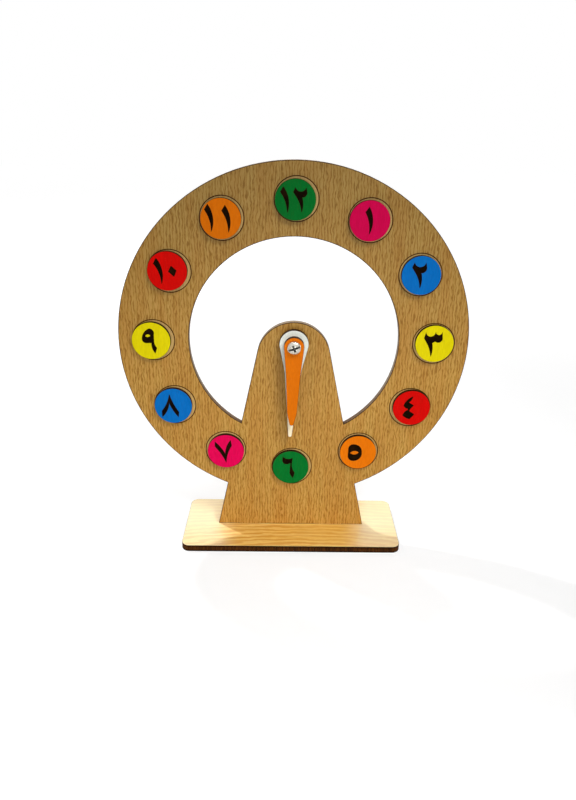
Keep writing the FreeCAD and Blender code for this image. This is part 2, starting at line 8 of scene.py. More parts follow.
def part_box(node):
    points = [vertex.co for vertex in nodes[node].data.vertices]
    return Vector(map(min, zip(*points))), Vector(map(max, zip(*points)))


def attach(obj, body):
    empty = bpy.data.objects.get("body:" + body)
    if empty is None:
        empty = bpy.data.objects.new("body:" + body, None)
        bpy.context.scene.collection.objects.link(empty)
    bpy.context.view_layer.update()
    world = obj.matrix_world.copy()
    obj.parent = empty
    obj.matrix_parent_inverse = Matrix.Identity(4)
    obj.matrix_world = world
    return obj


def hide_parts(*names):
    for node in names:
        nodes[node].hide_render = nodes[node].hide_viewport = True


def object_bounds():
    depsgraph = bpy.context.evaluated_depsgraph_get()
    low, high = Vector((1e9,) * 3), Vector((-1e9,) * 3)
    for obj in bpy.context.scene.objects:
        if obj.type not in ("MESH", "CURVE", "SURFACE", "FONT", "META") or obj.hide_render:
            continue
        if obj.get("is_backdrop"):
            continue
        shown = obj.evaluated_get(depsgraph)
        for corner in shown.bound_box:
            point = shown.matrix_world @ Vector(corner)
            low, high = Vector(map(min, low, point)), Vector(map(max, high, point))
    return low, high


mm = 0.001
inMm = (1 / mm,) * 3  # scale that turns metres into millimetres
weldDistance = 0.001 * mm
turnedSides = 72
circleSides = 96
sharpAngle = math.radians(50)
arcMiddle = 1 - math.sqrt(0.5)  # how far a rounding's middle lies in from its corner, for a radius of 1
cutLoop, engravedLoop = 1.0, 2.0  # radius that marks a loop as cut through or engraved

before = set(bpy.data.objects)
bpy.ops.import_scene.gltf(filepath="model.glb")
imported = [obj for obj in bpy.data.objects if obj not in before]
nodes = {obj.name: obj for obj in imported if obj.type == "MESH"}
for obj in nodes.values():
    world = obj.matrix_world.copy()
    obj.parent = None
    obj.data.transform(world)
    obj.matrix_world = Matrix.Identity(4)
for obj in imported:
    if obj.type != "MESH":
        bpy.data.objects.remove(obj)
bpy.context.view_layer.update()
pivotHeight = sum(v.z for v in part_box("hand_spacer")) / 2
print("frame loaded:", len(nodes), "nodes")


def link(name, data):
    thing = bpy.data.objects.new(name, data)
    bpy.context.scene.collection.objects.link(thing)
    return thing


def linear(colour):
    return tuple(c / 12.92 if c <= 0.04045 else ((c + 0.055) / 1.055) ** 2.4 for c in colour) + (1.0,)


# camera, turned about its own axes in degrees

cameraView = {
    "place": (-0.00705, -0.45779, 0.30739),
    "yaw": -0.87,
    "pitch": -19.63,
    "roll": 1.04,
    "lens": 30.195,
    "sensor": 36,
    "shiftX": -0.0069,
    "shiftY": -0.0541,
}


def makeCamera(view):
    turn = (
        Matrix.Rotation(math.radians(view["yaw"]), 4, "Z")
        @ Matrix.Rotation(math.radians(90 + view["pitch"]), 4, "X")
        @ Matrix.Rotation(math.radians(view["roll"]), 4, "Z")
    )
    data = bpy.data.cameras.new("camera")
    data.lens = view["lens"]
    data.sensor_width = view["sensor"]
    data.shift_x = view["shiftX"]
    data.shift_y = view["shiftY"]
    camera = link("camera", data)
    camera.matrix_world = Matrix.Translation(view["place"]) @ turn
    bpy.context.scene.camera = camera


makeCamera(cameraView)
print("camera set")


# node trees: put makes a node and gives its first output, and putNode gives the node itself

def putNode(tree, kind, settings=None, **inputs):
    node = tree.nodes.new(kind)
    for key, value in (settings or {}).items():
        setattr(node, key, value)
    for key, value in inputs.items():
        feed(tree, node.inputs[key.replace("_", " ")], value)
    return node


def put(tree, kind, settings=None, **inputs):
    return putNode(tree, kind, settings, **inputs).outputs[0]


def feed(tree, socket, value):
    if isinstance(value, bpy.types.NodeSocket):
        tree.links.new(value, socket)
    else:
        socket.default_value = value


def sums(tree, operation, *values):
    node = tree.nodes.new("ShaderNodeMath")
    node.operation = operation
    for socket, value in zip(node.inputs, values):
        feed(tree, socket, value)
    return node.outputs[0]


def plus(tree, *values):
    return sums(tree, "ADD", *values)


def less(tree, *values):
    return sums(tree, "SUBTRACT", *values)


def times(tree, *values):
    return sums(tree, "MULTIPLY", *values)


def over(tree, *values):
    return sums(tree, "DIVIDE", *values)


def ramp(tree, value, low, high, outLow=0.0, outHigh=1.0):
    return put(tree, "ShaderNodeMapRange", {"interpolation_type": "SMOOTHSTEP"}, Value=value,
               From_Min=low, From_Max=high, To_Min=outLow, To_Max=outHigh)


def blend(tree, factor, first, second, mode="MIX"):
    node = putNode(tree, "ShaderNodeMix", {"data_type": "RGBA", "blend_type": mode})
    for index, value in ((0, factor), (6, first), (7, second)):
        feed(tree, node.inputs[index], value)
    return node.outputs[2]


def stretch(tree, vector, scale, place=(0, 0, 0)):
    return put(tree, "ShaderNodeMapping", Vector=vector, Scale=scale, Location=place)


def noise(tree, vector, scale=1.0, detail=2.0, rough=0.5, warp=0.0):
    return put(tree, "ShaderNodeTexNoise", Vector=vector, Scale=scale, Detail=detail,
               Roughness=rough, Distortion=warp)


def split(tree, vector):
    return putNode(tree, "ShaderNodeSeparateXYZ", Vector=vector).outputs


def combined(tree, **parts):
    return put(tree, "ShaderNodeCombineXYZ", **parts)


def attribute(tree, name):
    return putNode(tree, "ShaderNodeAttribute", {"attribute_name": name}).outputs["Fac"]


def newGroup(name, kind, inputs, outputs):
    # an input's value gives its kind, and a word is the kind of one that has no value
    tree = bpy.data.node_groups.new(name, kind)
    for label, value in inputs.items():
        word = {float: "Float", int: "Int"}.get(type(value), value)
        socket = tree.interface.new_socket(name=label, in_out="INPUT", socket_type="NodeSocket" + word)
        if word != value:
            socket.default_value = value
    word = "Float" if kind == "ShaderNodeTree" else "Geometry"
    for label in outputs:
        tree.interface.new_socket(name=label, in_out="OUTPUT", socket_type="NodeSocket" + word)
    return tree, tree.nodes.new("NodeGroupInput").outputs, tree.nodes.new("NodeGroupOutput").inputs


def useGroup(tree, group, **inputs):
    node = tree.nodes.new("ShaderNodeGroup")
    node.node_tree = group
    for key, value in inputs.items():
        feed(tree, node.inputs[key.replace("_", " ")], value)
    return node.outputs


# grain of a sliced board: the vector is in millimetres, with the grain along Z

def makeGrainGroup():
    tree, given, out = newGroup(
        "boardGrain", "ShaderNodeTree",
        {
            "Vector": "Vector",
            "Waviness": 1.2,
            "Fibre Width": 0.75,
            "Fibre Length": 4.2,
            "Fleck Width": 0.7,
            "Fleck Length": 5.0,
            "Fleck Amount": 0.5,
            "Line Spacing": 2.1,
            "Lines": 0.0,  # at 1, lines and dashes stand in place of the round flecks
        },
        ("Tone", "Fibre", "Fleck", "Height"),
    )
    x, y, z = split(tree, given["Vector"])
    bend = noise(tree, stretch(tree, given["Vector"], (0.11, 0.11, 0.045)), detail=2)
    wave = noise(tree, stretch(tree, given["Vector"], (0.45, 0.45, 0.20)), detail=2)
    sway = plus(tree, less(tree, bend, 0.5), times(tree, less(tree, wave, 0.5), 0.6))
    across = plus(tree, x, times(tree, sway, times(tree, given["Waviness"], 2)))

    def along(wide, tall):
        return combined(tree, X=over(tree, across, wide), Y=over(tree, y, wide), Z=over(tree, z, tall))

    band = noise(tree, along(7.0, 70.0), detail=2)
    streak = noise(tree, along(1.7, 24.0), detail=1)
    tone = plus(tree, times(tree, band, 0.85), times(tree, streak, 0.15))
    fibre = noise(tree, along(given["Fibre Width"], given["Fibre Length"]), detail=2)

    # round flecks, more in some places than in others
    cell = putNode(tree, "ShaderNodeTexVoronoi", Vector=along(given["Fleck Width"], given["Fleck Length"]),
                   Scale=0.5).outputs["Distance"]
    patch = noise(tree, along(6.0, 25.0), detail=1)
    limit = times(tree, given["Fleck Amount"], plus(tree, times(tree, patch, 0.5), 0.75))
    fleck = ramp(tree, cell, times(tree, limit, 0.6), limit, 1.0, 0.0)

    # fine wandering lines, and short dashes on some of them
    lined = given["Lines"]
    stray = times(tree, noise(tree, along(1.8, 7.0), detail=1), 11.0)
    turns = times(tree, over(tree, across, given["Line Spacing"]), math.tau)
    line = sums(tree, "SINE", plus(tree, turns, stray))
    broken = noise(tree, along(1.0, given["Fleck Length"]), detail=1)
    dash = times(tree, ramp(tree, line, 0.1, 0.9), ramp(tree, broken, 0.38, 0.6))
    fibre = plus(tree, fibre, times(tree, line, times(tree, lined, 0.13)))
    fleck = sums(tree, "MAXIMUM", times(tree, dash, lined), times(tree, fleck, less(tree, 1.0, lined)))

    feed(tree, out["Tone"], ramp(tree, tone, 0.3, 0.7))
    feed(tree, out["Fibre"], ramp(tree, fibre, 0.32, 0.68))
    feed(tree, out["Fleck"], fleck)
    feed(tree, out["Height"], less(tree, times(tree, fibre, 0.5), times(tree, fleck, 0.5)))
    return tree


# browning that the laser leaves beside a cut: uneven, and strongest at the edge itself; on the base the same
# mask carries a pale painted highlight instead

def makeScorchGroup():
    tree, given, out = newGroup(
        "laserScorchAndEdgeHighlight", "ShaderNodeTree",
        {"Vector": "Vector", "Edge": 0.0, "Reach": 0.5, "Unevenness": 0.3},
        ("Mask", "Tint"),
    )
    patch = noise(tree, stretch(tree, given["Vector"], (0.4, 0.4, 0.4)), detail=3)
    edge = plus(tree, given["Edge"], times(tree, less(tree, patch, 0.5), given["Unevenness"]))
    start = less(tree, 1.0, given["Reach"])
    shown = sums(tree, "GREATER_THAN", given["Edge"], 0.001)
    feed(tree, out["Mask"], times(tree, shown, ramp(tree, edge, start, plus(tree, start, 0.35))))
    feed(tree, out["Tint"], times(tree, shown, ramp(tree, edge, 0.05, 1.0)))
    return tree


# handling marks: faint smudges and dust that change the gloss

def makeHandlingGroup():
    tree, given, out = newGroup(
        "handling", "ShaderNodeTree",
        {"Vector": "Vector", "Amount": 0.1, "Gloss": 0.45},
        ("Roughness", "Dust"),
    )
    smudge = noise(tree, stretch(tree, given["Vector"], (0.05, 0.05, 0.05)), detail=4, rough=0.6, warp=0.6)
    speck = noise(tree, stretch(tree, given["Vector"], (1.3, 1.3, 1.3)), detail=1)
    change = times(tree, less(tree, smudge, 0.5), times(tree, given["Amount"], 2))
    feed(tree, out["Roughness"], plus(tree, given["Gloss"], change))
    feed(tree, out["Dust"], ramp(tree, speck, 0.68, 0.8))
    return tree


grainGroup = makeGrainGroup()
scorchGroup = makeScorchGroup()
handlingGroup = makeHandlingGroup()
charDark = linear((0.140, 0.070, 0.020))
charBrown = linear((0.33, 0.18, 0.06))


def newMaterial(name):
    material = bpy.data.materials.new(name)
    material.use_nodes = True
    tree = material.node_tree
    tree.nodes.clear()
    shader = tree.nodes.new("ShaderNodeBsdfPrincipled")
    output = tree.nodes.new("ShaderNodeOutputMaterial")
    tree.links.new(shader.outputs[0], output.inputs[0])
    objectPlace = tree.nodes.new("ShaderNodeTexCoord").outputs["Object"]
    return material, tree, shader.inputs, objectPlace


def scorchOn(tree, colour, vector, reach, unevenness=0.3, tint=charBrown, strength=0.55):
    burn = useGroup(tree, scorchGroup, Vector=vector, Edge=attribute(tree, "scorch"), Reach=reach,
                    Unevenness=unevenness)
    warm = blend(tree, times(tree, burn["Tint"], strength), colour, tint)
    return blend(tree, burn["Mask"], warm, charDark), burn["Mask"]


def bumpOn(tree, shader, height, distance, strength):
    bump = put(tree, "ShaderNodeBump", Height=height, Distance=distance, Strength=strength)
    feed(tree, shader["Normal"], bump)


# beech board of the dial: upright grain with short dark dashes

dialWood = {
    "light": (0.760, 0.614, 0.347),
    "dark": (0.734, 0.559, 0.296),
    "fibre": (0.580, 0.405, 0.105),
    "fibreStrength": 0.58,
    "fleck": (0.500, 0.322, 0.085),
    "fleckStrength": 0.55,
    "grain": {"Fibre_Width": 0.28, "Fibre_Length": 4.5, "Fleck_Width": 0.34, "Fleck_Length": 3.0,
              "Fleck_Amount": 0.38, "Lines": 1.0},
    # low and high are painted light and shade: the foot brightened and reddened, the top darkened
    "low": (1.09, 1.00, 0.745),
    "high": (0.70, 0.71, 0.665),
    "paintedLightSpan": (100.0, 300.0),  # heights that the painted light belongs to: brighter and redder at the foot, darker and greyer at the top
    "bare": (0.86, 0.74, 0.50),
    "bareStrength": 0.45,
    "scorchReach": 0.75,
    "edgeScorchAndHighlightTint": (0.33, 0.18, 0.04),
    "edgeScorchAndHighlightStrength": 0.65,
    "gloss": 0.50,
    "shine": 0.18,
    "coat": 0.0,
}

# pale veneer of the base, its grain along the base

baseWood = {
    "light": (0.965, 0.825, 0.490),
    "dark": (0.945, 0.770, 0.380),
    "fibre": (0.860, 0.610, 0.210),
    "fibreStrength": 0.40,
    "fleck": (0.790, 0.560, 0.220),
    "fleckStrength": 0.25,
    "grain": {"Fibre_Width": 0.9, "Fibre_Length": 9.0, "Fleck_Width": 0.7, "Fleck_Length": 16.0,
              "Fleck_Amount": 0.35, "Lines": 0.0},
    # ends is painted light: the pale, washed-out colour of the parts that the back light falls on
    "ends": (1.0, 0.945, 0.785),
    "endsStrength": 0.68,
    "endsSpan": (45.0, 72.0),  # how far from the middle the pale painted wash starts and is full
    "endsWander": 16.0,
    "endsFade": (-30.0, 0.0, 0.60, 1.0),
    "scorchReach": 0.0,
    # on the base the edge tint is a painted highlight: a pale cream line along the cut edges where the light
    # catches them
    "edgeScorchAndHighlightTint": (1.0, 0.93, 0.72),
    "edgeScorchAndHighlightStrength": 0.75,
    "gloss": 0.45,
    "shine": 0.6,
    "coat": 0.7,
}
woodFinish = {"coatRoughness": 0.18, "burntRoughness": 0.15, "relief": 0.03 * mm, "reliefStrength": 0.6}


def woodMaterial(name, wood, turn=(0, 0, 0), figure=None):
    material, tree, shader, place = newMaterial(name)
    vector = put(tree, "ShaderNodeMapping", Vector=place, Rotation=turn, Scale=inMm)
    _, y, z = split(tree, vector)
    grain = useGroup(tree, grainGroup, Vector=vector, **wood["grain"])
    colour = blend(tree, grain["Tone"], linear(wood["dark"]), linear(wood["light"]))
    if figure:
        colour = blend(tree, figure(tree, vector), colour, linear(wood["fibre"]))
    for label, part in (("Fibre", "fibre"), ("Fleck", "fleck")):
        colour = blend(tree, times(tree, grain[label], wood[part + "Strength"]), colour, linear(wood[part]))
    if "low" in wood:  # painted light: redder and brighter at the foot, greyer and darker at the top, in place of light falling off up the board
        paintedLightTones = [blend(tree, 1.0, colour, wood[end] + (1.0,), "MULTIPLY") for end in ("low", "high")]
        colour = blend(tree, ramp(tree, z, *wood["paintedLightSpan"]), *paintedLightTones)
    if "bare" in wood:  # no lacquer inside the scored circles
        bare = times(tree, attribute(tree, "bare"), wood["bareStrength"])
        colour = blend(tree, bare, colour, linear(wood["bare"]))
    if "ends" in wood:  # painted light: a pale wash towards both ends, weaker at the front, where the strong back light washes the wood out
        wander = noise(tree, stretch(tree, vector, (0.08, 0.08, 0.03)), detail=2)
        reach = plus(tree, sums(tree, "ABSOLUTE", z), times(tree, wander, wood["endsWander"]))
        ends = times(tree, ramp(tree, reach, *wood["endsSpan"]), wood["endsStrength"])
        ends = times(tree, ends, ramp(tree, y, *wood["endsFade"]))
        colour = blend(tree, ends, colour, linear(wood["ends"]))
    # scorch on the dial; on the base this tint paints a pale highlight along the edges
    colour, burnt = scorchOn(tree, colour, vector, wood["scorchReach"], tint=linear(wood["edgeScorchAndHighlightTint"]),
                             strength=wood["edgeScorchAndHighlightStrength"])
    marks = useGroup(tree, handlingGroup, Vector=vector, Gloss=wood["gloss"])
    feed(tree, shader["Base Color"], colour)
    shader["Specular IOR Level"].default_value = wood["shine"]
    shader["Coat Weight"].default_value = wood["coat"]
    shader["Coat Roughness"].default_value = woodFinish["coatRoughness"]
    charred = times(tree, burnt, woodFinish["burntRoughness"])
    feed(tree, shader["Roughness"], plus(tree, marks["Roughness"], charred))
    bumpOn(tree, shader, grain["Height"], woodFinish["relief"], woodFinish["reliefStrength"])
    return material


# long uneven arcs, where the slice runs out of the growth rings

baseFigure = {
    "scale": (0.05, 0.055, 0.013),
    "place": (0.0, 2.4, 0.09),
    "arcs": {"Scale": 1.3, "Distortion": 6.0, "Detail": 3.0, "Detail_Scale": 2.2, "Detail_Roughness": 0.55},
    "patchScale": (0.1, 0.16, 0.03),
}


def cathedralFigure(tree, vector):
    bent = stretch(tree, vector, baseFigure["scale"], baseFigure["place"])
    rings = putNode(tree, "ShaderNodeTexWave", {"wave_type": "RINGS", "rings_direction": "X"}, Vector=bent,
                    **baseFigure["arcs"]).outputs["Fac"]
    patch = noise(tree, stretch(tree, vector, baseFigure["patchScale"]), detail=2)
    return times(tree, ramp(tree, rings, 0.25, 0.85), ramp(tree, patch, 0.3, 0.7, 0.55, 1.0))


# cut edge: browned by the laser, with fine lines through the board's thickness

charTints = {
    "dark": (0.17, 0.080, 0.015),
    "light": (0.40, 0.230, 0.07),
    "patch": (0.20, 0.11, 0.045),
    # the pale tint below is a painted highlight for the upright board's upper cut walls
    "paintedLitWall": (0.62, 0.55, 0.45),
    "burnt": (0.09, 0.045, 0.015),
}
paintedLitWallDepth = (1.9, 2.15)  # how far from the board's middle the painted highlight on the walls starts to fade, and ends


def charMaterial(name, across, lift, shine, heart=None, paintedLitWall=None):
    material, tree, shader, place = newMaterial(name)
    vector = stretch(tree, place, inMm)
    _, depth, height = split(tree, vector)
    lines = noise(tree, stretch(tree, vector, across), detail=3, rough=0.65)
    patch = noise(tree, stretch(tree, vector, (0.12, 0.12, 0.12)), detail=2)
    dark, light = (linear(c * lift for c in charTints[shade]) for shade in ("dark", "light"))
    colour = blend(tree, ramp(tree, lines, 0.35, 0.75), dark, light)
    patched = times(tree, ramp(tree, patch, 0.4, 0.8), 0.5)
    colour = blend(tree, patched, colour, linear(charTints["patch"]))
    if paintedLitWall:  # painted highlight: the cut walls turn paler above a height, where the back light catches them, but not in the scored circles
        paintedLitMask = ramp(tree, sums(tree, "ABSOLUTE", depth), *paintedLitWallDepth, 0.75, 0.0)
        paintedLitMask = times(tree, ramp(tree, height, *paintedLitWall), paintedLitMask)
        colour = blend(tree, paintedLitMask, colour, linear(charTints["paintedLitWall"]))
    if heart:  # a lying board's edge is burnt darkest at its top and bottom
        away = sums(tree, "ABSOLUTE", less(tree, height, heart))
        colour = blend(tree, ramp(tree, away, 0.6, 2.1, 0.0, 0.7), colour, linear(charTints["burnt"]))
    feed(tree, shader["Base Color"], colour)
    shader["Specular IOR Level"].default_value = shine
    feed(tree, shader["Roughness"], ramp(tree, lines, 0.2, 0.8, 0.36, 0.6))
    bumpOn(tree, shader, lines, 0.05 * mm, 0.7)
    return material


# satin paint on board: the grain shows through a little, and the laser browned its edges

paints = {
    "green": {"colour": (0.02, 0.47, 0.17), "shade": (0.015, 0.40, 0.14)},
    "pink": {"colour": (0.88, 0.02, 0.33), "shade": (0.80, 0.01, 0.27)},
    "blue": {"colour": (0.03, 0.45, 0.78), "shade": (0.02, 0.39, 0.70)},
    "yellow": {"colour": (0.93, 0.87, 0.04), "shade": (0.86, 0.79, 0.02)},
    "red": {"colour": (0.87, 0.04, 0.02), "shade": (0.78, 0.02, 0.01)},
    "orange": {"colour": (0.93, 0.48, 0.03), "shade": (0.86, 0.42, 0.02)},
    "white": {"colour": (0.955, 0.970, 0.940), "shade": (0.915, 0.930, 0.890), "tip": (1.0, 0.935, 0.790)},
}
paintFinish = {
    "grain": {"Fleck_Width": 0.6, "Fleck_Length": 5.0, "Fleck_Amount": 0.35},
    "toneStrength": 0.35,
    "fibreStrength": 0.45,
    "fleckStrength": 0.06,
    "tipSpan": (90.0, 150.0),
    "scorchReach": 0.50,
    "unevenness": 0.22,
    "handling": {"Gloss": 0.42, "Amount": 0.08},
    "dust": (0.75, 0.72, 0.66),
    "dustStrength": 0.05,
    "shine": 0.03,
    "burntRoughness": 0.2,
    "relief": 0.015 * mm,
    "reliefStrength": 0.5,
}


def paintMaterial(name, paint, finish):
    material, tree, shader, place = newMaterial(name)
    vector = stretch(tree, place, inMm)
    grain = useGroup(tree, grainGroup, Vector=vector, **finish["grain"])
    shade = linear(paint["shade"])
    colour = blend(tree, times(tree, grain["Tone"], finish["toneStrength"]), linear(paint["colour"]), shade)
    colour = blend(tree, times(tree, grain["Fibre"], finish["fibreStrength"]), colour, shade)
    if "tip" in paint:  # creamier towards its lower end
        height = split(tree, vector)["Z"]
        colour = blend(tree, ramp(tree, height, *finish["tipSpan"], 1.0, 0.0), colour, linear(paint["tip"]))
    colour = blend(tree, times(tree, grain["Fleck"], finish["fleckStrength"]), colour, charBrown)
    # coat scales a whole piece's colour: painted shade where negative, painted light where positive
    coat = plus(tree, attribute(tree, "coat"), 1.0)
    colour = put(tree, "ShaderNodeVectorMath", {"operation": "SCALE"}, Vector=colour, Scale=coat)
    colour, burnt = scorchOn(tree, colour, vector, finish["scorchReach"], finish["unevenness"])
    marks = useGroup(tree, handlingGroup, Vector=vector, **finish["handling"])
    dust = times(tree, marks["Dust"], finish["dustStrength"])
    feed(tree, shader["Base Color"], blend(tree, dust, colour, linear(finish["dust"])))
    shader["Specular IOR Level"].default_value = finish["shine"]
    charred = times(tree, burnt, finish["burntRoughness"])
    feed(tree, shader["Roughness"], plus(tree, marks["Roughness"], charred))
    bumpOn(tree, shader, grain["Height"], finish["relief"], finish["reliefStrength"])
    return material


# plated steel: fine turning lines about the pivot and a few dull spots, with dirt and painted shade
# darkening the screw's slot

steelLook = {
    "bright": (0.82, 0.81, 0.77),
    "dull": (0.66, 0.64, 0.59),
    "dirt": (0.10, 0.09, 0.075),
    "slotDirtAndShadeStrength": 0.92,
    "slotDirtAndShadeDepth": (0.08, 0.5),  # below the dome of the head, in millimetres
    "domeRadius": 8.0,
    "domeCentre": -11.35,
    "headFoot": -15.8,
    "headRim": (4.3, 4.5),
}


def steelMaterial(name, look):
    material, tree, shader, place = newMaterial(name)
    centred = stretch(tree, place, inMm, (0, 0, -pivotHeight * 1000))
    x, y, z = split(tree, centred)
    radius = sums(tree, "SQRT", plus(tree, times(tree, x, x), times(tree, z, z)))
    worked = noise(tree, combined(tree, X=times(tree, radius, 9.0), Y=times(tree, y, 4.0)), detail=2)
    spots = noise(tree, stretch(tree, centred, (0.9, 0.9, 0.9)), detail=3, rough=0.6)
    colour = blend(tree, ramp(tree, spots, 0.4, 0.75), linear(look["bright"]), linear(look["dull"]))
    dome = less(tree, look["domeRadius"] ** 2, times(tree, radius, radius))
    crown = less(tree, look["domeCentre"], sums(tree, "SQRT", dome))
    # darker deeper in the slot and cross: dirt together with painted shade
    sunk = ramp(tree, less(tree, y, crown), *look["slotDirtAndShadeDepth"])
    inHead = times(tree, sums(tree, "LESS_THAN", y, look["headFoot"]),
                   ramp(tree, radius, *look["headRim"], 1.0, 0.0))
    dirt = times(tree, times(tree, sunk, inHead), look["slotDirtAndShadeStrength"])
    feed(tree, shader["Base Color"], blend(tree, dirt, colour, linear(look["dirt"])))
    shader["Metallic"].default_value = 1.0
    feed(tree, shader["Roughness"], plus(tree, ramp(tree, worked, 0.3, 0.7, 0.20, 0.32),
                                         ramp(tree, spots, 0.5, 0.8, 0.0, 0.15)))
    bumpOn(tree, shader, worked, 0.01 * mm, 0.35)
    return material


nylonLook = {"light": (0.90, 0.89, 0.85), "dark": (0.83, 0.81, 0.75), "milky": 0.15}


def nylonMaterial(name, look):
    material, tree, shader, place = newMaterial(name)
    vector = stretch(tree, place, inMm)
    cloud = noise(tree, stretch(tree, vector, (0.25, 0.25, 0.25)), detail=3)
    grit = noise(tree, stretch(tree, vector, (3.0, 3.0, 3.0)), detail=2)
    colour = blend(tree, ramp(tree, cloud, 0.3, 0.7), linear(look["light"]), linear(look["dark"]))
    feed(tree, shader["Base Color"], colour)
    feed(tree, shader["Roughness"], ramp(tree, grit, 0.3, 0.7, 0.38, 0.52))
    shader["Subsurface Weight"].default_value = look["milky"]
    shader["Subsurface Radius"].default_value = (1.5 * mm, 1.3 * mm, 1.0 * mm)
    bumpOn(tree, shader, grit, 0.01 * mm, 0.4)
    return material


boardFace = woodMaterial("dialBeech", dialWood)
veneerFace = woodMaterial("baseVeneer", baseWood, turn=(0, math.radians(90), 0), figure=cathedralFigure)
# the upright board's walls get a painted highlight, rising from 60 mm to full at 150 mm
charUpright = charMaterial("charUprightBoards", (1.7, 0.06, 1.7), lift=1.15, shine=0.06, paintedLitWall=(60, 150))
charFlat = charMaterial("charFlatBoard", (1.7, 1.7, 0.10), lift=1.0, shine=0.03, heart=2.5)
charThin = charMaterial("charThinBoards", (1.7, 0.1, 1.7), lift=0.6, shine=0.05)
burntNumeral = charMaterial("burntNumeral", (1.1, 0.3, 1.1), lift=0.28, shine=0.01)
paintFaces = {tint: paintMaterial(tint + "Paint", paint, paintFinish) for tint, paint in paints.items()}
steel = steelMaterial("platedSteel", steelLook)
nylon = nylonMaterial("spacerNylon", nylonLook)
print("materials made")


# geometry nodes: a tree makes a piece from named sizes, and the result is kept as a plain mesh

def join(tree, *parts):
    node = tree.nodes.new("GeometryNodeJoinGeometry")
    for part in parts:
        tree.links.new(part, node.inputs[0])
    return node.outputs[0]


def noted(tree, geometry, name, value, domain="FACE"):
    # a value that stays with each face or point, under its own name
    return put(tree, "GeometryNodeStoreNamedAttribute", {"data_type": "FLOAT", "domain": domain},
               Geometry=geometry, Name=name, Value=value)


def makeProfile(tree, steps):
    # an open curve to sweep: for each point its place outwards, its depth, and how scorched it is
    line = put(tree, "GeometryNodeResampleCurve", Curve=put(tree, "GeometryNodeCurvePrimitiveLine"),
               Count=len(steps))
    index = put(tree, "GeometryNodeInputIndex")

    def pick(kind, values):
        node = putNode(tree, "GeometryNodeIndexSwitch", {"data_type": kind}, Index=index)
        while len(node.index_switch_items) < len(values):
            node.index_switch_items.new()
        for position, value in enumerate(values):
            feed(tree, node.inputs[position + 1], value)
        return node.outputs[0]

    places = [combined(tree, X=step[0], Y=step[1]) for step in steps]
    line = put(tree, "GeometryNodeSetPosition", Geometry=line, Position=pick("VECTOR", places))
    if len(steps[0]) == 2:
        return line
    return noted(tree, line, "scorch", pick("FLOAT", [step[2] for step in steps]), "POINT")


def sweep(tree, curve, profile, caps=False):
    return put(tree, "GeometryNodeCurveToMesh", Curve=curve, Profile_Curve=profile, Fill_Caps=caps)


def shifted(tree, geometry, offset):
    return put(tree, "GeometryNodeSetPosition", Geometry=geometry, Offset=offset)


def lifted(tree, geometry, height):
    return shifted(tree, geometry, combined(tree, Z=height))


def lyingFlat(tree, curve):
    return put(tree, "GeometryNodeSetCurveNormal", {"mode": "Z_UP"}, Curve=curve)


def welded(tree, geometry):
    return put(tree, "GeometryNodeMergeByDistance", Geometry=geometry, Distance=weldDistance)


def surfaced(tree, geometry, material, where=True):
    return put(tree, "GeometryNodeSetMaterial", Geometry=geometry, Selection=where, Material=material)


def boolean(tree, operation, parts, body=None):
    node = putNode(tree, "GeometryNodeMeshBoolean", {"operation": operation, "solver": "EXACT"})
    if body:
        tree.links.new(body, node.inputs["Mesh 1"])
    for part in parts:
        tree.links.new(part, node.inputs["Mesh 2"])
    return node.outputs[0]


def revolved(tree, steps):
    # a part of revolution about Z: each step is a radius and a depth below the front
    axle = 1 * mm
    circle = put(tree, "GeometryNodeCurvePrimitiveCircle", Resolution=turnedSides, Radius=axle)
    profile = makeProfile(tree, [(less(tree, radius, axle), depth) for radius, depth in steps])
    return welded(tree, sweep(tree, lyingFlat(tree, circle), profile))


def placed(tree, given, geometry):
    turned = put(tree, "GeometryNodeTransform", Geometry=geometry, Rotation=given["Turn"],
                 Translation=given["Place"])
    return put(tree, "GeometryNodeRealizeInstances", Geometry=turned)


def grow(name, tree, values, data=None):
    maker = link(name + "Maker", data or bpy.data.meshes.new(name + "Maker"))
    modifier = maker.modifiers.new("make", "NODES")
    modifier.node_group = tree
    for item in tree.interface.items_tree:
        if item.in_out == "INPUT" and item.name in values:
            modifier[item.identifier] = values[item.name]
    graph = bpy.context.evaluated_depsgraph_get()
    mesh = bpy.data.meshes.new_from_object(maker.evaluated_get(graph), depsgraph=graph)
    mesh.name = name
    maker.modifiers.remove(modifier)
    bpy.data.objects.remove(maker)
    if mesh.materials[0] is None:
        mesh.materials.pop(index=0)
    return mesh


def finishPiece(name, mesh, node, body, slotName):
    mesh.shade_smooth()
    mesh.set_sharp_from_angle(angle=sharpAngle)
    piece = link(name, mesh)
    shading = piece.modifiers.new("shading", "WEIGHTED_NORMAL")
    shading.weight = 100
    shading.keep_sharp = True
    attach(piece, body)
    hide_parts(node)


# boards: an edge is swept along each outline that the laser cut, and the faces are filled

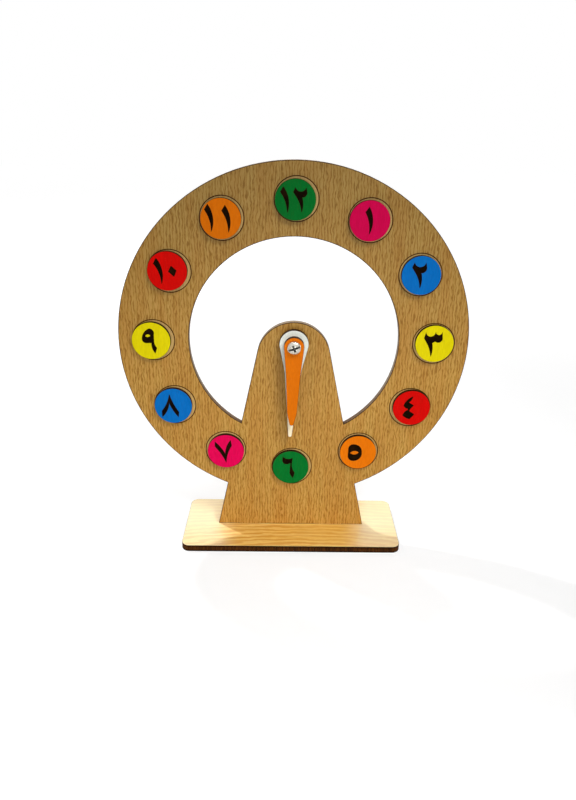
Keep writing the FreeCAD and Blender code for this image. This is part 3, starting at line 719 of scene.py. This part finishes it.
def makeBoardTree():
    tree, given, out = newGroup(
        "laserBoard", "GeometryNodeTree",
        {
            "Outline": "Geometry",
            "Thickness": 5 * mm,
            "Rounding": 0.15 * mm,
            "Halo": 0.4 * mm,
            "Engraving Depth": 0.5 * mm,
            "Engraving Halo": 0.1 * mm,
            "Score Count": 0,
            "Score Circle": 100 * mm,
            "Score Centre": "Vector",
            "Score Radius": 15 * mm,
            "Score Width": 0.4 * mm,
            "Score Depth": 0.3 * mm,
            "Score Halo": 0.25 * mm,
            "Turn": "Vector",
            "Place": "Vector",
            "Face": "Material",
            "Edge": "Material",
            "Back": "Material",
            "Numeral": "Material",
        },
        ("Board",),
    )

    def minus(value):
        return times(tree, value, -1.0)

    def inset(curve, distance):
        normal = put(tree, "GeometryNodeInputNormal")
        return shifted(tree, curve, put(tree, "ShaderNodeVectorMath", {"operation": "SCALE"}, Vector=normal,
                                        Scale=minus(distance)))

    def filled(curve):
        return put(tree, "GeometryNodeFillCurve", Curve=curve)

    isEngraved = put(tree, "FunctionNodeCompare", {"data_type": "FLOAT", "operation": "GREATER_THAN"},
                     A=put(tree, "GeometryNodeInputRadius"), B=(cutLoop + engravedLoop) / 2)
    kinds = putNode(tree, "GeometryNodeSeparateGeometry", {"domain": "CURVE"}, Geometry=given["Outline"],
                    Selection=isEngraved).outputs
    engraved, cut = (put(tree, "GeometryNodeSetCurveRadius", Curve=kind, Radius=1.0) for kind in kinds)

    # cut edge, from the front face round to the back
    halo, rounding, thick = given["Halo"], given["Rounding"], given["Thickness"]
    slight = times(tree, rounding, arcMiddle)
    walls = sweep(tree, cut, makeProfile(tree, [
        (minus(halo), 0.0, 0.0),
        (minus(rounding), 0.0, 0.7),
        (minus(slight), slight, 1.0),
        (0.0, rounding, 1.0),
        (0.0, less(tree, thick, rounding), 1.0),
        (minus(slight), less(tree, thick, slight), 1.0),
        (minus(rounding), thick, 0.7),
        (minus(halo), thick, 0.0),
    ]))

    # numerals, sunk to a flat floor
    deep, engravedHalo = given["Engraving Depth"], given["Engraving Halo"]
    eased = times(tree, engravedHalo, 0.25)
    sunk = sweep(tree, engraved, makeProfile(tree, [
        (minus(engravedHalo), 0.0, 0.0),
        (minus(times(tree, engravedHalo, 0.75)), 0.0, 1.0),
        (minus(eased), 0.0, 1.0),
        (0.0, eased, 1.0),
        (0.0, deep, 1.0),
    ]))
    floors = noted(tree, lifted(tree, filled(engraved), minus(deep)), "sunk", 1.0)

    # scored circles, one at each hour, on a board that has at least three
    hours = put(tree, "GeometryNodeCurvePrimitiveCircle", Resolution=given["Score Count"],
                Radius=given["Score Circle"])
    hours = shifted(tree, hours, given["Score Centre"])
    wanted = putNode(tree, "FunctionNodeCompare", {"data_type": "INT", "operation": "GREATER_THAN"})
    feed(tree, wanted.inputs[2], given["Score Count"])
    feed(tree, wanted.inputs[3], 2)

    def circles(radius):
        circle = put(tree, "GeometryNodeCurvePrimitiveCircle", Resolution=circleSides, Radius=radius)
        copies = put(tree, "GeometryNodeInstanceOnPoints", Points=hours, Selection=wanted.outputs[0],
                     Instance=circle)
        return lyingFlat(tree, put(tree, "GeometryNodeRealizeInstances", Geometry=copies))

    half = times(tree, given["Score Width"], 0.5)
    foot = times(tree, half, 0.35)
    reach = plus(tree, half, given["Score Halo"])
    scores = sweep(tree, circles(given["Score Radius"]), makeProfile(tree, [
        (minus(reach), 0.0, 0.0),
        (minus(half), 0.0, 0.6),
        (minus(foot), given["Score Depth"], 1.0),
        (foot, given["Score Depth"], 1.0),
        (half, 0.0, 0.6),
        (reach, 0.0, 0.0),
    ]))
    gap, inner = (circles(sums(tree, way, given["Score Radius"], reach)) for way in ("ADD", "SUBTRACT"))
    islands = noted(tree, filled(inner), "bare", 1.0)

    face = filled(join(tree, inset(cut, halo), inset(engraved, engravedHalo), gap))
    rear = put(tree, "GeometryNodeFlipFaces", Mesh=lifted(tree, filled(inset(cut, halo)), minus(thick)))
    board = welded(tree, join(tree, walls, sunk, floors, scores, islands, face, rear))

    # which faces are the front and the back is noted before the board is turned upright
    up = split(tree, put(tree, "GeometryNodeInputNormal"))[2]
    height = split(tree, put(tree, "GeometryNodeInputPosition"))[2]
    atTop = sums(tree, "GREATER_THAN", height, -0.01 * mm)
    board = noted(tree, board, "onFront", times(tree, sums(tree, "GREATER_THAN", up, 0.99), atTop))
    board = noted(tree, board, "onBack", sums(tree, "LESS_THAN", up, -0.99))
    board = surfaced(tree, placed(tree, given, board), given["Edge"])
    for label, surface in (("onFront", "Face"), ("onBack", "Back"), ("sunk", "Numeral")):
        where = put(tree, "GeometryNodeInputNamedAttribute", {"data_type": "FLOAT"}, Name=label)
        board = surfaced(tree, board, given[surface], where)
    feed(tree, out["Board"], board)
    return tree


def makeOutline(node, upright, engravings):
    # the loops of the frame's board, with the wood on their left
    form = bmesh.new()
    form.from_mesh(nodes[node].data)
    bmesh.ops.remove_doubles(form, verts=form.verts, dist=weldDistance)
    form.normal_update()
    laid = {v: Vector((v.co.x, v.co.z, -v.co.y)) if upright else v.co.copy() for v in form.verts}
    top, bottom = max(p.z for p in laid.values()), min(p.z for p in laid.values())

    def loopsOf(faces):
        follow = {}
        for face in faces:
            for corner in face.loops:
                if corner.link_loop_radial_next.face not in faces:
                    follow[corner.vert] = corner.link_loop_next.vert
        while follow:
            vert = next(iter(follow))
            loop = []
            while vert in follow:
                loop.append(laid[vert].xy)
                vert = follow.pop(vert)
            yield loop[::-1]

    levels = {cutLoop: [], engravedLoop: []}
    for face in form.faces:
        up = -face.normal.y if upright else face.normal.z
        height = sum(laid[v].z for v in face.verts) / len(face.verts)
        if up < -0.999 and height < bottom + 0.01 * mm:
            levels[cutLoop].append(face)
        elif up > 0.999 and height < top - 0.01 * mm and engravings:
            levels[engravedLoop].append(face)
    outline = bpy.data.curves.new(node + "Outline", "CURVE")
    outline.dimensions = "3D"
    outline.twist_mode = "Z_UP"
    for radius, faces in levels.items():
        for loop in loopsOf(faces):
            spline = outline.splines.new("POLY")
            spline.points.add(len(loop) - 1)
            for point, place in zip(spline.points, loop):
                point.co = (place.x, place.y, 0.0, 1.0)
                point.radius = radius
            spline.use_cyclic_u = True
    form.free()
    return outline, top, top - bottom


boardTree = makeBoardTree()


def makeBoard(name, node, body, slotName, sizes, surfaces, upright=True, engravings=False, coat=0.0):
    outline, top, thickness = makeOutline(node, upright, engravings)
    values = {"Thickness": thickness, "Turn": (math.radians(90 if upright else 0), 0.0, 0.0),
              "Place": (0.0, -top, 0.0) if upright else (0.0, 0.0, top),
              "Numeral": burntNumeral if engravings else surfaces[1]}
    values.update(sizes)
    values.update(zip(("Face", "Edge", "Back"), surfaces))
    mesh = grow(name, boardTree, values, outline)
    # coat is a painted shade and light factor for the whole piece
    shades = mesh.attributes.new("coat", "FLOAT", "FACE")
    shades.data.foreach_set("value", [coat] * len(mesh.polygons))
    finishPiece(name, mesh, node, body, slotName)


dialCut = {
    "Rounding": 0.15 * mm,
    "Halo": 0.85 * mm,
    "Score Count": 12,
    "Score Circle": 100 * mm,
    "Score Centre": (0.0, pivotHeight, 0.0),
    "Score Radius": 15 * mm,
    "Score Width": 0.50 * mm,
    "Score Depth": 0.30 * mm,
    "Score Halo": 0.25 * mm,
}
baseCut = {"Rounding": 0.20 * mm, "Halo": 1.1 * mm}
discCut = {
    "Rounding": 0.06 * mm,
    "Halo": 0.2 * mm,
    "Engraving Depth": 0.5 * mm,
    "Engraving Halo": 0.20 * mm,
}
handCut = {"Rounding": 0.12 * mm, "Halo": 0.25 * mm}

makeBoard("dialBoard", "dial_plate", "stand", "dial_board", dialCut, (boardFace, charUpright, boardFace))
makeBoard("baseBoard", "base_plate", "stand", "base_board", baseCut, (veneerFace, charFlat, veneerFace),
          upright=False)
discTints = ["pink", "blue", "yellow", "red", "orange", "green"] * 2
discPaintedShade = {12: -0.13, 1: -0.10, 11: -0.12, 7: 0.10}  # painted shade and light: the top discs darker and the bottom one lighter, as the light falls on the dial
for hour, tint in enumerate(discTints, start=1):
    makeBoard(f"numberDisc{hour:02d}", f"number_disc_{hour:02d}", "stand", tint + "_board", discCut,
              (paintFaces[tint], charThin, boardFace), engravings=True, coat=discPaintedShade.get(hour, 0.0))
makeBoard("minuteHandBoard", "minute_hand", "minute", "white_board", handCut,
          (paintFaces["white"], charThin, boardFace))
# the hour hand's coat darkens it: painted shade
makeBoard("hourHandBoard", "hour_hand", "hour", "orange_board", handCut,
          (paintFaces["orange"], charThin, boardFace), coat=-0.08)
print("boards made")


# rings round the screw: spacers, washer and the nut's nylon insert

def makeRingTree():
    tree, given, out = newGroup(
        "turnedRing", "GeometryNodeTree",
        {
            "Bore": 2.65 * mm,
            "Radius": 6 * mm,
            "Height": 2.5 * mm,
            "Rounding": 0.3 * mm,
            "Turn": "Vector",
            "Place": "Vector",
            "Finish": "Material",
        },
        ("Ring",),
    )
    ease = given["Rounding"]
    slight = times(tree, ease, arcMiddle)
    corner = ((0.0, ease), (slight, slight), (ease, 0.0))
    inner = [(plus(tree, given["Bore"], a), b) for a, b in corner]
    outer = [(less(tree, given["Radius"], a), b) for a, b in corner[::-1]]
    under = [(a, less(tree, given["Height"], b)) for a, b in (inner + outer)[::-1]]
    ring = placed(tree, given, revolved(tree, inner + outer + under + inner[:1]))
    feed(tree, out["Ring"], surfaced(tree, ring, given["Finish"]))
    return tree


ringTree = makeRingTree()
frontTurn = (math.radians(90), 0.0, 0.0)  # turns a part's front, +Z, to the clock's front

ringSizes = {
    # node: bore, rounding, finish, slot
    "plate_spacer": (2.65 * mm, 0.35 * mm, nylon, "nylon"),
    "hand_spacer": (2.65 * mm, 0.35 * mm, nylon, "nylon"),
    "back_washer": (2.65 * mm, 0.15 * mm, steel, "steel"),
    "nut_insert": (2.53 * mm, 0.12 * mm, nylon, "nylon"),
}
for node, (bore, ease, finish, slotName) in ringSizes.items():
    low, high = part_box(node)
    name = "".join(word.capitalize() if at else word for at, word in enumerate(node.split("_")))
    values = {"Bore": bore, "Radius": (high.x - low.x) / 2, "Height": high.y - low.y, "Rounding": ease,
              "Turn": frontTurn, "Place": (0.0, low.y, pivotHeight), "Finish": finish}
    finishPiece(name + "Ring", grow(name + "Ring", ringTree, values), node, "stand", slotName)


# pivot screw: pan head with a slot and a cross in it, and a helical thread

def makeScrewTree():
    tree, given, out = newGroup(
        "panHeadScrew", "GeometryNodeTree",
        {
            "Head Radius": 4.75 * mm,
            "Head Height": 3.7 * mm,
            "Dome Radius": 8 * mm,
            "Slot Width": 1.2 * mm,
            "Slot Depth": 1.5 * mm,
            "Cross Width": 5 * mm,
            "Cross Slot": 1.3 * mm,
            "Cross Depth": 2.4 * mm,
            "Drive Angle": 0.0,
            "Length": 28 * mm,
            "Core Radius": 2.06 * mm,
            "Crest Radius": 2.5 * mm,
            "Pitch": 0.8 * mm,
            "Threaded": 12 * mm,
            "Turn": "Vector",
            "Place": "Vector",
            "Finish": "Material",
        },
        ("Screw",),
    )
    radius, tall, dome = given["Head Radius"], given["Head Height"], given["Dome Radius"]
    core, crestRadius, whole = given["Core Radius"], given["Crest Radius"], given["Length"]

    def drop(at):
        squares = less(tree, times(tree, dome, dome), times(tree, at, at))
        return less(tree, dome, sums(tree, "SQRT", squares))

    # dome, rim, underside, plain shank, the thread's core and the tip
    rim, rimRound = drop(radius), ((0.22, 0.02), (0.06, 0.18), (0.0, 0.42))
    crown = [times(tree, less(tree, radius, 0.5 * mm), step / 7) for step in range(8)]
    steps = [(at, drop(at)) for at in crown]
    steps += [(less(tree, radius, inwards * mm), plus(tree, rim, down * mm)) for inwards, down in rimRound]
    plain = less(tree, whole, given["Threaded"])
    steps += [
        (radius, less(tree, tall, 0.15 * mm)),
        (less(tree, radius, 0.15 * mm), tall),
        (crestRadius, tall),
        (crestRadius, plain),
        (core, plus(tree, plain, 0.4 * mm)),
        (core, less(tree, whole, 0.3 * mm)),
        (less(tree, core, 0.3 * mm), whole),
        (0.0, whole),
    ]

    # the slot runs right across, and the arms of the cross narrow downwards
    def cutter(long, wide, deep, taper, turn):
        size = combined(tree, X=long, Y=wide, Z=plus(tree, deep, 1 * mm))
        block = put(tree, "GeometryNodeMeshCube", Size=size)
        block = lifted(tree, block, times(tree, less(tree, 1 * mm, deep), 0.5))
        place = put(tree, "GeometryNodeInputPosition")
        narrow = put(tree, "ShaderNodeMapRange", Value=split(tree, place)[2],
                     From_Min=times(tree, deep, -1.0), From_Max=0.0, To_Min=taper, To_Max=1.0)
        shaped = putNode(tree, "ShaderNodeVectorMath", {"operation": "MULTIPLY"})
        feed(tree, shaped.inputs[0], place)
        feed(tree, shaped.inputs[1], combined(tree, X=narrow, Y=narrow, Z=1.0))
        block = put(tree, "GeometryNodeSetPosition", Geometry=block, Position=shaped.outputs[0])
        angle = combined(tree, Z=plus(tree, given["Drive Angle"], turn))
        return put(tree, "GeometryNodeTransform", Geometry=block, Rotation=angle)

    cutters = [cutter(times(tree, radius, 2.4), given["Slot Width"], given["Slot Depth"], 1.0, 0.0)]
    cutters += [cutter(given["Cross Width"], given["Cross Slot"], given["Cross Depth"], 0.5, turn)
                for turn in (0.0, math.pi / 2)]
    body = boolean(tree, "DIFFERENCE", cutters, revolved(tree, steps))

    # thread: a ridge wound up from the tip, which thins out at both ends
    wound = less(tree, given["Threaded"], 1.1 * mm)
    helix = put(tree, "GeometryNodeCurveSpiral", Resolution=48, Rotations=over(tree, wound, given["Pitch"]),
                Start_Radius=core, End_Radius=core, Height=wound)
    helix = lyingFlat(tree, lifted(tree, helix, less(tree, 0.4 * mm, whole)))
    factor = putNode(tree, "GeometryNodeSplineParameter").outputs["Factor"]
    fromEnd = sums(tree, "MINIMUM", factor, less(tree, 1.0, factor))
    helix = put(tree, "GeometryNodeSetCurveRadius", Curve=helix,
                Radius=ramp(tree, fromEnd, 0.0, 0.02, 0.15, 1.0))
    ridge = less(tree, crestRadius, core)
    flank, crest = times(tree, given["Pitch"], 0.46), times(tree, given["Pitch"], 0.07)
    section = makeProfile(tree, [(-0.05 * mm, times(tree, flank, -1.0)), (ridge, times(tree, crest, -1.0)),
                                 (ridge, crest), (-0.05 * mm, flank)])
    section = put(tree, "GeometryNodeSetSplineCyclic", Geometry=section, Cyclic=True)
    screw = placed(tree, given, join(tree, body, sweep(tree, helix, section, caps=True)))
    feed(tree, out["Screw"], surfaced(tree, screw, given["Finish"]))
    return tree


low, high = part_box("pivot_screw")
screwSizes = {
    "Head Radius": (high.x - low.x) / 2,
    "Head Height": 3.7 * mm,
    "Dome Radius": 8 * mm,
    "Slot Width": 1.6 * mm,
    "Slot Depth": 1.9 * mm,
    "Cross Width": 6.2 * mm,
    "Cross Slot": 1.9 * mm,
    "Cross Depth": 2.6 * mm,
    "Drive Angle": math.radians(20),
    "Length": high.y - low.y,
    "Core Radius": 2.06 * mm,
    "Crest Radius": 2.5 * mm,
    "Pitch": 0.8 * mm,
    "Threaded": 12 * mm,
    "Turn": frontTurn,
    "Place": (0.0, low.y, pivotHeight),
    "Finish": steel,
}
screwMesh = grow("pivotScrewPanHead", makeScrewTree(), screwSizes)
finishPiece("pivotScrewPanHead", screwMesh, "pivot_screw", "stand", "steel")


# lock nut: a turned blank, cut to six flats

def makeNutTree():
    tree, given, out = newGroup(
        "lockNut", "GeometryNodeTree",
        {
            "Flats": 8 * mm,
            "Hex Height": 3.6 * mm,
            "Collar Radius": 3.7 * mm,
            "Height": 5 * mm,
            "Bore": 2.53 * mm,
            "Seat Radius": 3.2 * mm,
            "Seat Depth": 1.7 * mm,
            "Chamfer": 0.55 * mm,
            "First Flat": 0.0,
            "Turn": "Vector",
            "Place": "Vector",
            "Finish": "Material",
        },
        ("Nut",),
    )
    flat = times(tree, given["Flats"], 0.5)
    corner = times(tree, flat, 2 / math.sqrt(3))
    proud = plus(tree, corner, 0.1 * mm)
    chamfer, tall, whole = given["Chamfer"], given["Hex Height"], given["Height"]
    collar, bore, seat = given["Collar Radius"], given["Bore"], given["Seat Radius"]
    waist = less(tree, flat, 0.15 * mm)
    seatTop = less(tree, whole, given["Seat Depth"])
    collarRound = ((0.04, 0.31), (0.15, 0.15), (0.30, 0.04))
    blank = revolved(tree, [
        (bore, 0.2 * mm),
        (plus(tree, bore, 0.2 * mm), 0.0),
        (waist, 0.0),
        (proud, chamfer),
        (proud, less(tree, tall, chamfer)),
        (waist, tall),
        (plus(tree, collar, 0.12 * mm), tall),
        (collar, plus(tree, tall, 0.12 * mm)),
        (collar, less(tree, whole, 0.5 * mm)),
        *((less(tree, collar, inwards * mm), less(tree, whole, down * mm)) for inwards, down in collarRound),
        (seat, whole),
        (seat, seatTop),
        (bore, seatTop),
        (bore, 0.2 * mm),
    ])
    prism = put(tree, "GeometryNodeMeshCylinder", Vertices=6, Radius=corner, Depth=30 * mm)
    turn = combined(tree, Z=given["First Flat"])
    prism = put(tree, "GeometryNodeTransform", Geometry=prism, Rotation=turn)
    nut = placed(tree, given, boolean(tree, "INTERSECT", (blank, prism)))
    feed(tree, out["Nut"], surfaced(tree, nut, given["Finish"]))
    return tree


low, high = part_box("lock_nut")
nutSizes = {
    "Flats": 8 * mm,
    "Hex Height": 3.6 * mm,
    "Collar Radius": 3.7 * mm,
    "Height": high.y - low.y,
    "Bore": 2.53 * mm,
    "Seat Radius": 3.2 * mm,
    "Seat Depth": 1.7 * mm,
    "Chamfer": 0.55 * mm,
    "First Flat": math.radians(0 if high.x - low.x > 8.5 * mm else 30),
    "Turn": frontTurn,
    "Place": (0.0, low.y, pivotHeight),
    "Finish": steel,
}
finishPiece("lockNutHex", grow("lockNutHex", makeNutTree(), nutSizes), "lock_nut", "stand", "steel")
print("hardware made")


# floor and light

floorLook = {
    "size": 8.0,
    "sink": 0.02 * mm,
    "colour": (0.735, 0.735, 0.735),
    "cloud": 0.99,
    "roughness": 0.9,
    "shine": 0.1,
    "lift": (0.3, 1.0, 0.55, 0.80),  # glow for the eye alone: from and to a distance, near and far strength
}


def seenRays(tree):
    # 1 where the camera looks, straight or in a reflection, and 0 for light that falls on the clock
    rays = putNode(tree, "ShaderNodeLightPath").outputs
    return sums(tree, "MAXIMUM", sums(tree, "MAXIMUM", rays["Is Camera Ray"], rays["Is Glossy Ray"]),
                rays["Is Transmission Ray"])


def makeFloor(look):
    half = look["size"] / 2
    corners = [(-half, -half, 0), (half, -half, 0), (half, half, 0), (-half, half, 0)]
    mesh = bpy.data.meshes.new("floor")
    mesh.from_pydata(corners, [], [(0, 1, 2, 3)])
    material, tree, shader, place = newMaterial("floor")
    cloud = noise(tree, place, scale=3.0, detail=2)
    cloudy = linear(c * look["cloud"] for c in look["colour"])
    feed(tree, shader["Base Color"], blend(tree, cloud, linear(look["colour"]), cloudy))
    shader["Roughness"].default_value = look["roughness"]
    shader["Specular IOR Level"].default_value = look["shine"]
    shader["Emission Color"].default_value = (1, 1, 1, 1)
    away = putNode(tree, "ShaderNodeVectorMath", {"operation": "LENGTH"}, Vector=place).outputs["Value"]
    feed(tree, shader["Emission Strength"], times(tree, seenRays(tree), ramp(tree, away, *look["lift"])))
    mesh.materials.append(material)
    floor = link("floor", mesh)
    floor.location.z = -look["sink"]
    floor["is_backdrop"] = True


lamps = {
    # name: place, what it points at, size, power, how wide its beam is in degrees
    "backLamp": ((-0.55, 0.57, 1.15), (0, 0, 0.05), 0.07, 10.4, 180),
    "frontLamp": ((0.42, -0.72, 1.10), (0, -0.01, 0), 0.55, 0.60, 36),
    "lowLamp": ((0.02, -0.36, 0.05), (0, 0, 0.05), 0.30, 0.55, 180),
}
ambient = 0.35


def makeLights():
    for name, (place, target, size, power, beam) in lamps.items():
        data = bpy.data.lights.new(name, "AREA")
        data.shape = "DISK"
        data.size = size
        data.energy = power
        data.spread = math.radians(beam)
        lamp = link(name, data)
        away = Vector(place) - Vector(target)
        lamp.location = place
        lamp.rotation_mode = "QUATERNION"
        lamp.rotation_quaternion = away.to_track_quat("Z", "Y")
        lamp.visible_camera = False
    world = bpy.data.worlds.new("studio")
    bpy.context.scene.world = world
    world.use_nodes = True
    tree = world.node_tree
    tree.nodes.clear()
    strength = ramp(tree, seenRays(tree), 0.0, 1.0, ambient, 1.0)
    sky = put(tree, "ShaderNodeBackground", Color=(1, 1, 1, 1), Strength=strength)
    output = tree.nodes.new("ShaderNodeOutputWorld")
    tree.links.new(sky, output.inputs[0])
    bpy.context.scene.view_settings.view_transform = "Standard"


makeFloor(floorLook)
makeLights()
print("floor and light made")

low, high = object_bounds()
